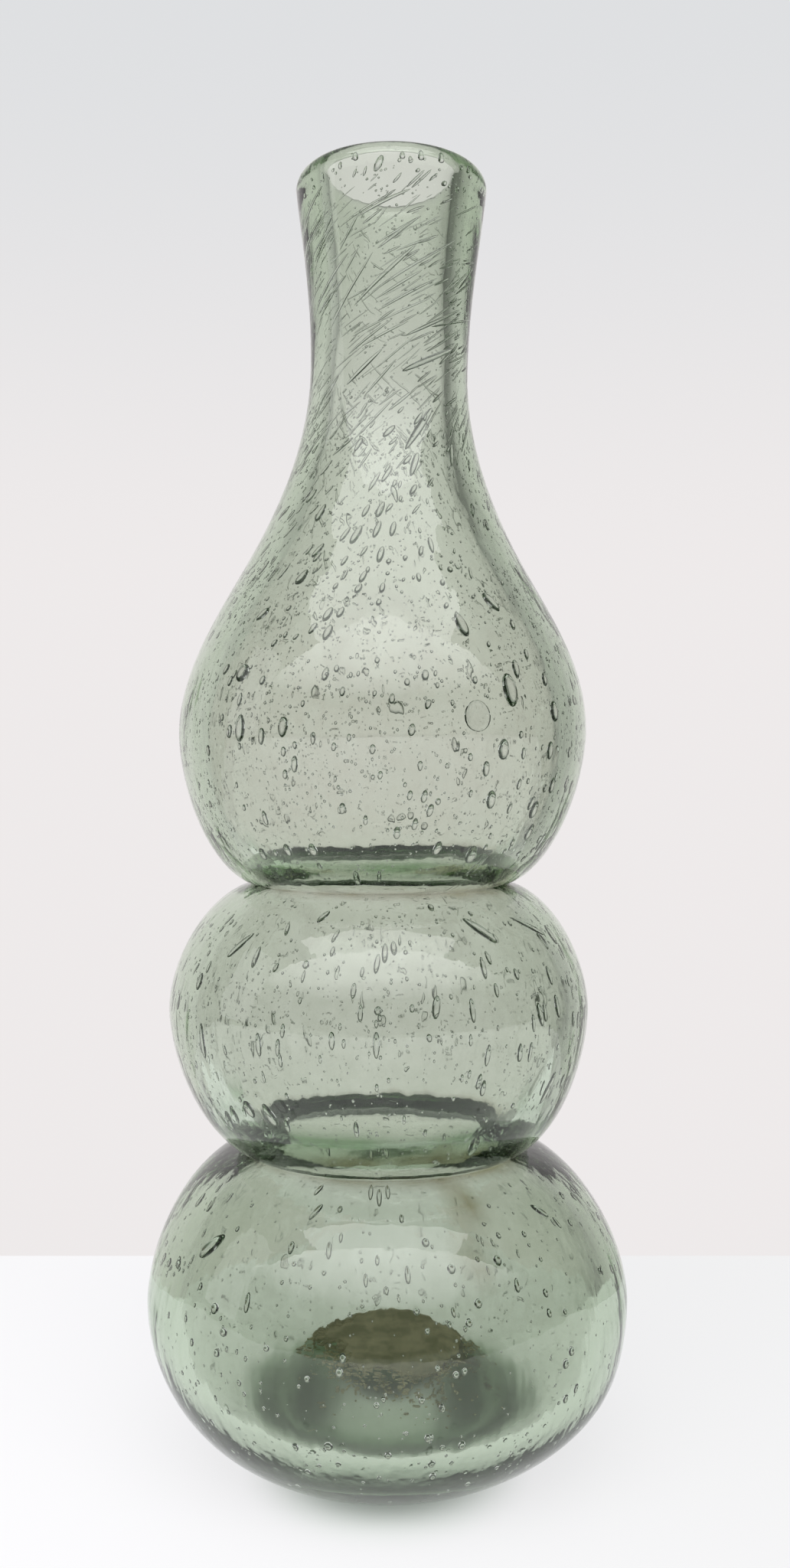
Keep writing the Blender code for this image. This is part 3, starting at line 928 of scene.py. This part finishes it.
@dataclass
class GlassBody:
    """The two gathers as one body of glass, with the layers that lie on its skin.

    The skin's points begin with those in the hollow. Sags are degrees from +X, height, reach and size. Stains are
    degrees from the front, height, size and strength. Rings of painted dark green shade are height, reach and
    level.
    Waves and grains are clouds to the metre and strength.
    """

    wall: VaseWall = VaseWall()
    finish: TintedGlass = TintedGlass()
    turns: int = 144
    sharp_angle: float = math.radians(55)
    hollow_ripple: float = 0.28 * MM
    outside_ripple: float = 0.10 * MM
    hollow_waves: Rows = ((60, 1.0), (120, 0.25))
    outside_wave: float = 55
    outside_calm: float = 0.006
    hollow_calm: float = 0.15
    calm_heights: Pair = (0.016, 0.046)
    # Share of the film by height: mostly more towards the bottom, which darkens the lower bulbs
    film_heights: Levels = (0.020, 0.043, 0.049, 0.056, 0.066, 0.100, 0.120, 0.150, 0.170, 0.195)
    film_levels: Levels = (0.72, 0.75, 0.98, 0.98, 0.62, 0.62, 0.48, 0.42, 0.34, 0.10)
    film_grain: Rows = ((45, 0.2), (170, 0.2))
    silt_radii: Levels = (0.0155, 0.0180, 0.0260, 0.0320)
    silt_levels: Levels = (0.20, 0.05, 0.02, 0.0)
    silt_evenness: float = 0.8
    silt_grain: Pair = (240, 0.5)
    frost_radii: Levels = (0.0270, 0.0345)
    frost_levels: Levels = (1.0, 0.0)
    # Painted dark green shade on the sides of the floor and in rings on the front near the waists
    painted_shade_radii: Levels = (0.0130, 0.0175, 0.0260, 0.0340, 0.0410)
    painted_shade_levels: Levels = (0.0, 0.34, 0.30, 0.14, 0.05)
    painted_shade_grain: Pair = (110, 0.45)
    painted_shade_least: float = 0.06
    axis_width: float = 1e-6
    painted_shade_front: Pair = (-0.010, 0.006)
    painted_shade_rings: Rows = ((0.0525, 0.0050, 0.17), (0.0697, 0.0036, 1.0), (0.1184, 0.0034, 0.88))
    outer_painted_shade: Place = (0.0698, 0.0024, 0.42)
    # Painted contact shade: dark green along the foot's standing edge
    foot_painted_shade: float = 0.75
    foot_painted_shade_heights: Pair = (0.0022, 0.0052)
    sags: Rows = ((-20, 0.0150, 0.0080, 1.0 * MM), (-10, 0.1560, 0.0130, 0.6 * MM))
    stains: Rows = ((26, 0.0572, 0.0050, 0.9), (24, 0.0530, 0.0034, 0.5), (23, 0.0485, 0.0046, 0.8))
    crease_line_reach: float = 0.0042
    crease_drop: float = 0.6 * MM

    def ripple(self, face: Face, point: Array) -> float:
        """How far the hand-blown surface stands off a true turned one.

        Args:
            face: The face that the point is on.
            point: The point.

        Returns:
            The distance along the radius, outwards on the outside only where the bulb sags.
        """
        place = Vector(point)
        push = 0.0
        for turn, height, reach, size in self.sags:
            aside = math.cos(math.atan2(point[1], point[0]) - math.radians(turn))
            push += size * max(0.0, aside) ** 2 * math.exp(-(((point[2] - height) / reach) ** 2))
        if face is Face.OUTSIDE:
            push -= self.outside_ripple * (0.5 + 0.5 * noise.noise(place * self.outside_wave))
            return push * min(1.0, max(0.0, point[2] / self.outside_calm))
        low, high = self.calm_heights
        calm = min(1.0, max(self.hollow_calm, (point[2] - low) / (high - low)))
        return push + calm * self.hollow_ripple * waves(place, self.hollow_waves)

    def turned(self) -> Shape:
        """Turns the wall's profile about the axis into the points and faces of the skin."""
        outer, inner = self.wall.pairs()
        profile = np.concatenate([inner, outer[-2::-1]])
        faces_of = [Face.HOLLOW] * len(inner) + [Face.OUTSIDE] * (len(outer) - 1)
        rows = [pole(profile[0, 1])]
        for face, (radius, height) in zip(faces_of[1:-1], profile[1:-1]):
            ring = circle(radius, height, self.turns)
            for point in ring:
                point[:2] *= 1 + self.ripple(face, point) / radius
            ring[:, 0] += self.wall.sway(ring[:, 2])
            rows.append(ring)
        return skin([*rows, pole(profile[-1, 1])])

    def inside(self, points: Array) -> Array:
        """Which points of the skin lie in the hollow."""
        return np.arange(len(points)) < 1 + (len(self.wall.pairs()[1]) - 1) * self.turns

    def floor(self, points: Array) -> Array:
        """Which points of the skin lie on the floor of the hollow."""
        return self.inside(points) & (points[:, 2] < self.wall.lower_bulb.height)

    def film(self, points: Array) -> Array:
        """How much film lies on each point of the skin, as a share of a full film: only in the hollow, and mostly
        more towards the bottom of the vase.
        """
        level = np.interp(points[:, 2], self.film_heights, self.film_levels)
        uneven = np.array([1 + waves(Vector(point), self.film_grain) for point in points])
        return self.inside(points) * level * uneven

    def silt(self, points: Array) -> Array:
        """How much brown silt lies on the floor and in the stains, and how strong the brown line along the
        outside of each waist crease is, as a share of a full layer.
        """
        radius = np.hypot(points[:, 0], points[:, 1])
        share = self.floor(points) * np.interp(radius, self.silt_radii, self.silt_levels)
        for turn, height, size, strength in self.stains:
            aside = radius * (np.arctan2(points[:, 1], points[:, 0]) - math.radians(turn - 90))
            share = np.maximum(share, strength * fade(np.hypot(aside, points[:, 2] - height) / size))
        # A brown line along the outside of each waist crease, a little below it
        for waist in (self.wall.lower_waist, self.wall.upper_waist):
            apart = np.hypot(radius - waist.radius, points[:, 2] - waist.height + self.crease_drop)
            share = np.maximum(share, ~self.inside(points) * fade(apart / self.crease_line_reach))
        return share * (self.silt_evenness + grained(points, *self.silt_grain))

    def frost(self, points: Array) -> Array:
        """How dull each point of the skin has become, on the floor and on the worn underside."""
        radius = np.hypot(points[:, 0], points[:, 1])
        low = (radius < self.wall.foot_radius) & (points[:, 2] < self.wall.kick_height + MM)
        dull = self.floor(points) | (low & ~self.inside(points))
        return dull * np.interp(radius, self.frost_radii, self.frost_levels)

    def painted_shade(self, points: Array) -> Array:
        """How much painted dark green shade lies on each point of the skin, as a share of a full layer: on the
        sides of the floor, in rings on the front near the waists and along the foot's standing edge.
        """
        x, y, z = points.T
        radius = np.hypot(x, y)
        aside = np.abs(x) / np.maximum(radius, self.axis_width)
        front = fall(y, self.painted_shade_front)
        uneven = self.painted_shade_least + (1 - self.painted_shade_least) * aside
        hollow = self.floor(points) * np.interp(radius, self.painted_shade_radii, self.painted_shade_levels) * uneven
        # Painted shade rings on the front of the hollow near the waists
        for height, reach, level in self.painted_shade_rings:
            hollow = np.maximum(hollow, level * front * fade(np.abs(z - height) / reach))
        # Painted contact shade along the foot's standing edge
        foot = self.foot_painted_shade * fall(z, self.foot_painted_shade_heights)
        # Painted shade ring on the front of the outside above the lower waist
        height, reach, level = self.outer_painted_shade
        outside = foot + level * front * fade(np.abs(z - height) / reach)
        return np.where(self.inside(points), hollow * (1 + grained(points, *self.painted_shade_grain)), outside)

    def build(self) -> Piece:
        """Makes the glass body, dresses it and sets it on the frame."""
        points, faces = self.turned()
        piece = add_piece("glass_body", (points, faces), self.finish)
        piece.data.set_sharp_from_angle(angle=self.sharp_angle)
        for layer in (self.film, self.silt, self.frost, self.painted_shade):
            share = np.clip(layer(points), 0, 1)
            piece.data.attributes.new(layer.__name__, "FLOAT", "POINT").data.foreach_set("value", share)
        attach(piece, "root")
        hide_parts("outer_gather", "inner_gather")
        return piece


@dataclass(frozen=True)
class PlainGlass(Finish):
    """Glass of one colour, or the face between glass and the air of a bubble.

    Args:
        name: Name of the material.
        colour: Its colour.
        clearness: How much of it is clear, from 0 to 1.
        roughness: How rough its face is.
        ior: Index of refraction.
    """

    colour: Colour = WHITE
    clearness: float = 1.0
    roughness: float = 0.0
    ior: float = 1.5

    def dress(self, nodes: Nodes, shader: Node) -> None:
        """Sets up the material."""
        nodes.feed(shader, {"Base Color": self.colour, "Transmission Weight": self.clearness,
                            "Roughness": self.roughness, "IOR": self.ior})


@dataclass
class Bubbles:
    """Some of the trapped air as one mesh of bubbles.

    Args:
        name: Name of the piece.
        air: The wall and the bubbles that are in it already.
        placed: Bubbles that have their own places, for each stretch of wall.
        blisters: Flat bubbles that have their own places.
        families: Bubbles that are scattered.
        finish: Their finish.
    """

    name: str
    air: TrappedAir
    placed: dict[str, Rows]
    blisters: Rows
    families: tuple[BubbleFamily, ...]
    finish: PlainGlass = PlainGlass("bubble_skin")

    def build(self) -> Piece:
        """Makes the bubbles, dresses them and sets them on the frame."""
        first = len(self.air.bubbles)
        self.air.place("blisters", self.blisters, self.air.blister_flatness)
        for name, rows in self.placed.items():
            self.air.place(name, rows, self.air.flatness)
        for family in self.families:
            self.air.scatter(family)
        piece = add_piece(self.name, self.air.mesh(first), self.finish)
        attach(piece, "root")
        return piece


@dataclass(frozen=True)
class DriedSilt(Finish):
    """Dried brown silt.

    Args:
        name: Name of the material.
        light: Its lighter colour.
        dark: Its darker colour.
        grain: Specks per metre.
        detail: Finer noise in them.
        levels: Where in the noise the darker colour ends and the lighter one begins.
        relief: Depth of the specks.
        roughness: How rough it is.
        gloss: How strong its gloss is.
    """

    name: str = "dried_silt"
    light: Colour = (0.86, 0.79, 0.56, 1.0)
    dark: Colour = (0.56, 0.53, 0.36, 1.0)
    grain: float = 260.0
    detail: float = 6.0
    levels: Pair = (0.35, 0.65)
    relief: float = 0.3 * MM
    roughness: float = 0.95
    gloss: float = 0.1

    def dress(self, nodes: Nodes, shader: Node) -> None:
        """Sets up the material."""
        specks = nodes.clouds((self.grain, self.grain, self.grain), self.detail)
        nodes.feed(shader, {
            "Roughness": self.roughness,
            "Specular IOR Level": self.gloss,
            "Base Color": nodes.mixed(nodes.ranged(specks, *self.levels), self.dark, self.light),
            "Normal": nodes.bumped(specks, self.relief),
        })


@dataclass
class FloorSilt:
    """The cake of silt that has dried on the floor of the hollow, with loose grains round its edge."""

    wall: VaseWall = VaseWall()
    finish: DriedSilt = DriedSilt()
    radius: float = 0.0138
    lift: float = 0.35 * MM
    crown: float = 0.35 * MM
    aside: float = 0.0022
    crown_power: int = 4
    edge_waves: Rows = ((2.6, 0.16), (9, 0.12))
    edge_level: float = 0.3
    turns: int = 96
    rings: int = 14
    grains: int = 2200
    grain_reach: float = 0.0028
    grain_overlap: float = 0.5 * MM
    grain_size: Pair = (0.10 * MM, 0.42 * MM)
    grain_stretch: Pair = (0.8, 1.6)
    grain_flatness: float = 0.5
    grain_lift: float = 0.2
    grain_facets: tuple[int, int] = (6, 3)
    seed: int = 7

    def height(self, radius: Array) -> Array:
        """Height of the underside of the cake at each distance from the axis."""
        return self.wall.floor_curve(self.wall.floor_angle(radius))[:, 1] + self.lift

    def edge(self, turn: float) -> float:
        """How far out the edge of the cake lies at an angle round its middle, as a share of its radius."""
        return 1 + waves(Vector((math.cos(turn), math.sin(turn), self.edge_level)), self.edge_waves)

    def cake(self) -> Shape:
        """The cake as points and faces, its upper face first."""
        angles = round_angles(self.turns)
        edge = np.array([self.edge(turn) for turn in angles])
        faces = []
        for thick in (self.crown, 0.0):
            rows = [pole(self.height(np.zeros(1))[0] + thick, self.aside)]
            for share in np.linspace(0, 1, self.rings + 1)[1:]:
                reach = self.radius * share * edge
                x, y = self.aside + reach * np.cos(angles), reach * np.sin(angles)
                z = self.height(np.hypot(x, y)) + thick * (1 - share ** self.crown_power)
                rows.append(np.column_stack([x, y, z]))
            faces.append(rows)
        return skin(faces[0] + faces[1][::-1])

    def loose_grains(self) -> list[Shape]:
        """The loose grains round the edge of the cake as points and faces."""
        draw = random.Random(self.seed)
        unit, inwards = ball(*self.grain_facets)
        outwards = [tuple(reversed(face)) for face in inwards]
        grains = []
        for _ in range(self.grains):
            turn = draw.uniform(-math.pi, math.pi)
            reach = self.radius * self.edge(turn) + abs(draw.gauss(0, self.grain_reach)) - self.grain_overlap
            size = draw.uniform(*self.grain_size)
            x, y = self.aside + reach * math.cos(turn), reach * math.sin(turn)
            z = float(self.height(np.hypot([x], [y]))[0]) + self.grain_lift * size
            sides = [draw.uniform(*self.grain_stretch) for _ in range(2)]
            stretch = np.array([*sides, self.grain_flatness]) * size
            grains.append((unit * stretch + np.array([x, y, z]), outwards))
        return grains

    def build(self) -> Piece:
        """Makes the cake and sets it on the frame."""
        piece = add_piece("floor_silt", joined([self.cake(), *self.loose_grains()]), self.finish)
        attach(piece, "root")
        return piece


@dataclass
class PontilWad:
    """The wad of glass at the top of the kick, flat above, rounded at its edge and broken below."""

    wall: VaseWall = VaseWall()
    finish: PlainGlass = PlainGlass("broken_pontil_glass", (0.36, 0.35, 0.25, 1.0), 0.6, 0.45)
    radius: float = 0.0090
    thickness: float = 0.0024
    gap: float = 0.3 * MM
    break_depth: float = 0.5 * MM
    break_grain: float = 420
    turns: int = 64
    arc_steps: int = 8
    rings: int = 8

    def profile(self) -> Array:
        """Radii and heights from the middle of the upper face round the edge to the middle of the lower one."""
        top = self.wall.kick_height - self.gap
        edge = self.thickness / 2
        angle = np.linspace(0, math.pi, self.arc_steps + 1)
        arc = np.column_stack([self.radius - edge + edge * np.sin(angle), top - edge + edge * np.cos(angle)])
        inwards = np.linspace(1, 0, self.rings + 1)[1:]
        lower = np.column_stack([(self.radius - edge) * inwards, top - self.thickness + edge / 2 * (1 - inwards)])
        return np.concatenate([[[0.0, top]], arc, lower])

    def build(self) -> Piece:
        """Makes the wad and sets it on the frame."""
        profile = self.profile()
        rows = [circle(radius, height, self.turns) for radius, height in profile[1:-1]]
        for ring in rows[self.arc_steps + 1:]:
            ring[:, 2] += grained(ring, self.break_grain, self.break_depth)
        piece = add_piece("broken_wad", skin([pole(profile[0, 1]), *rows, pole(profile[-1, 1])]), self.finish)
        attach(piece, "root")
        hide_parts("pontil_wad")
        return piece


@dataclass(frozen=True)
class PalePaper(Finish):
    """Plain matte paper that partly keeps an even tone to the eye, with painted shade towards its right, a
    painted green tint in the shade at the foot and painted light under the kick.

    Args:
        name: Name of the material.
        colour: Colour of the paper on the left.
        shaded_right_colour: Its colour on the right, darker as painted shade.
        evenness: How much of its tone is even, from 0 for plain paper to 1 for no shadow at all.
        sides: Where along X the left ends and the painted shade on the right begins.
        shade_middle: Where along Y the middle of the shade at the foot lies.
        shade: Distances from there at which the shade begins to fade and ends.
        shaded_evenness: Evenness in full shade.
        hub: Distances from the axis at which the painted light under the kick begins and is full.
        hub_evenness: Evenness there, which paints that light.
        shade_tint: What light through the glass does to the colour in full shade.
        roughness: How rough it is.
        gloss: How strong its gloss is.
    """

    colour: Colour
    shaded_right_colour: Colour
    evenness: float
    sides: Pair = (-0.10, 0.10)
    shade_middle: float = -0.012
    shade: Pair = (0.009, 0.029)
    shaded_evenness: float = 0.20
    hub: Pair = (0.0175, 0.0140)
    hub_evenness: float = 0.60
    # shade_tint: Painted green tint of the colour in full shade, for light through the glass.
    shade_tint: Place = (0.92, 1.0, 0.92)
    roughness: float = 0.85
    gloss: float = 0.1

    def dress(self, nodes: Nodes, shader: Node) -> None:
        """Sets up the material."""
        place = nodes.place()
        clear = nodes.ranged(nodes.measured("DISTANCE", place, (0.0, self.shade_middle, 0.0)), *self.shade)
        under = nodes.ranged(nodes.measured("LENGTH", place), *self.hub)
        # Painted shade: the paper darkens towards the right
        right_shade = nodes.ranged(nodes.part(place, "X"), *self.sides)
        # Painted green tint in the shade at the foot, for light through the glass
        painted_green_shade = (*(part * tint for part, tint in zip(self.colour, self.shade_tint)), 1.0)
        colour = nodes.mixed(clear, painted_green_shade, nodes.mixed(right_shade, self.colour, self.shaded_right_colour))
        evenness = nodes.mixed(clear, grey(self.shaded_evenness), grey(self.evenness))
        # Painted light: the paper under the kick keeps more of its even tone
        evenness = nodes.mixed(under, evenness, grey(self.hub_evenness))
        nodes.feed(shader, {
            "Base Color": colour, "Roughness": self.roughness, "Specular IOR Level": self.gloss})
        even = nodes.add("Emission", {"Color": colour})
        share = nodes.worked_out("MULTIPLY", nodes.seen_rays(), evenness)
        both = nodes.add("MixShader", {0: share, 1: shader.outputs["BSDF"], 2: even.outputs["Emission"]})
        nodes.feed("Material Output", {"Surface": both.outputs["Shader"]})


@dataclass
class Stage:
    """A pale table whose far edge is close behind the vase."""

    far_edge: float = 0.100
    reach: float = 3.0
    # Its right side is darker, as painted shade
    table: PalePaper = PalePaper("table_white", (0.960, 0.955, 0.970, 1.0), (0.890, 0.890, 0.895, 1.0), 0.82)

    def build(self) -> None:
        """Makes the table."""
        reach, far = self.reach, self.far_edge
        corners = [(-reach, -reach, 0.0), (reach, -reach, 0.0), (reach, far, 0.0), (-reach, far, 0.0)]
        table = add_piece("table", (np.array(corners), [(0, 1, 2, 3)]), self.table)


@dataclass(frozen=True)
class SoftLamp:
    """A flat soft lamp.

    Args:
        name: Its name.
        place: Its middle.
        aim: The point that it faces.
        width: Its width.
        depth: Its other side.
        glow: How bright its face is, where 1 is white.
        spread: How wide its light fans out, in degrees.
    """

    name: str
    place: Place
    aim: Place
    width: float
    depth: float
    glow: float
    spread: float = 180.0

    def build(self) -> None:
        """Makes the lamp."""
        light = bpy.data.lights.new(self.name, "AREA")
        light.shape = "RECTANGLE"
        light.size = self.width
        light.size_y = self.depth
        light.energy = self.glow * math.pi * self.width * self.depth
        light.spread = math.radians(self.spread)
        lamp = bpy.data.objects.new(self.name, light)
        lamp.location = self.place
        lamp.rotation_euler = (Vector(self.aim) - Vector(self.place)).to_track_quat("-Z", "Y").to_euler()
        lamp.visible_transmission = False
        bpy.context.scene.collection.objects.link(lamp)


@dataclass(frozen=True)
class Room:
    """The light of the room: a pale wall behind the vase, a pale ceiling, and a dimmer room on the eye's side.

    Args:
        wall: Colour of the wall, which is also the backdrop from every side.
        wall_top: Its colour high up.
        wall_change: How steeply up a direction points where the wall begins to change, and where it ends.
        tones: How light the room is in each direction, from the eye's side at -1 to the wall at 1.
        tint: Colour of that light.
        brightest: The direction in which the wall is lightest.
        ceiling: Colour of the ceiling.
        ceiling_change: How steeply up a direction points where the ceiling begins, and where it is full.
        fill: Light that falls on matte things from all round.
    """

    wall: Colour = (0.855, 0.825, 0.825, 1.0)
    wall_top: Colour = (0.735, 0.745, 0.760, 1.0)
    wall_change: Pair = (0.10, 0.48)
    tones: Rows = ((-0.40, 0.05), (0.00, 0.09), (0.35, 0.27), (0.65, 0.61), (0.86, 0.83), (1.00, 0.85))
    tint: Place = (1.015, 0.98, 0.98)
    brightest: Place = (-0.16, 0.987, 0.0)
    ceiling: Colour = (0.48, 0.48, 0.48, 1.0)
    ceiling_change: Pair = (0.55, 0.85)
    fill: Colour = (0.46, 0.46, 0.47, 1.0)

    def build(self) -> bpy.types.World:
        """Makes the world."""
        world = bpy.data.worlds.new("room")
        nodes = Nodes(world)
        way = nodes.place("Generated")
        up = nodes.part(way, "Z")
        behind = nodes.worked_out("MULTIPLY_ADD", nodes.measured("DOT_PRODUCT", way, self.brightest), 0.5, 0.5)
        ramp = nodes.add("ValToRGB", {"Fac": behind})
        ramp.color_ramp.interpolation = "EASE"
        stops = ramp.color_ramp.elements
        while len(stops) < len(self.tones):
            stops.new(0.5)
        for stop, (along, tone) in zip(stops, self.tones):
            stop.position = (along + 1) / 2
            stop.color = (*(tone * part for part in self.tint), 1.0)
        room = nodes.mixed(nodes.ranged(up, *self.ceiling_change), ramp.outputs["Color"], self.ceiling)
        wall = nodes.mixed(nodes.ranged(up, *self.wall_change), self.wall, self.wall_top)
        straight = nodes.add("LightPath", {}).outputs["Is Camera Ray"]
        seen = nodes.mixed(straight, room, wall)
        nodes.feed("Background", {"Color": nodes.mixed(nodes.seen_rays(), self.fill, seen)})
        return world


@dataclass
class Studio:
    """Light and camera."""

    lamps: tuple[SoftLamp, ...] = (
        SoftLamp("ceiling_panel", (-0.10, -1.25, 1.05), (-0.10, -1.24, 0.0), 4.0, 1.3, 3.1, 130.0),
        SoftLamp("skylight", (0.0, -0.42, 1.05), (0.0, -0.41, 0.0), 1.3, 0.35, 2.7),
        SoftLamp("window_left", (-1.25, -0.20, 0.55), (0.0, 0.0, 0.12), 0.5, 0.9, 1.0),
    )
    room: Room = Room()
    camera_place: Place = (0.0015, -0.276, 0.139)
    camera_pitch: float = math.radians(90 - 1.62)
    lens: float = 32.06
    sensor: float = 36.0
    nearest: float = 0.01
    bounces: int = 40
    glossy_bounces: int = 12

    def build(self) -> None:
        """Makes the lamps, the room's own light and the camera."""
        scene = bpy.context.scene
        for lamp in self.lamps:
            lamp.build()
        scene.world = self.room.build()
        data = bpy.data.cameras.new("camera")
        data.lens = self.lens
        data.sensor_width = self.sensor
        data.clip_start = self.nearest
        camera = bpy.data.objects.new("camera", data)
        camera.location = self.camera_place
        camera.rotation_euler = (self.camera_pitch, 0.0, 0.0)
        scene.collection.objects.link(camera)
        scene.camera = camera
        scene.view_settings.view_transform = "Standard"
        scene.cycles.max_bounces = self.bounces
        scene.cycles.transmission_bounces = self.bounces
        scene.cycles.glossy_bounces = self.glossy_bounces
        scene.cycles.use_denoising = True


def main() -> None:
    """Builds the vase, its stage and its light."""
    logging.basicConfig(level=logging.INFO)
    air = TrappedAir(VaseWall())
    makers = (
        GlassBody(),
        Bubbles("trapped_air", air, {**PLACED, "cord": CORD}, BLISTERS, FAMILIES),
        Bubbles("fine_seeds", air, {}, (), SEEDS),
        FloorSilt(),
        PontilWad(),
    )
    for maker in makers:
        piece = maker.build()
        LOG.info("%s: %d triangles", piece.name, sum(len(face.vertices) - 2 for face in piece.data.polygons))
    Stage().build()
    Studio().build()


if __name__ == "__main__":
    main()
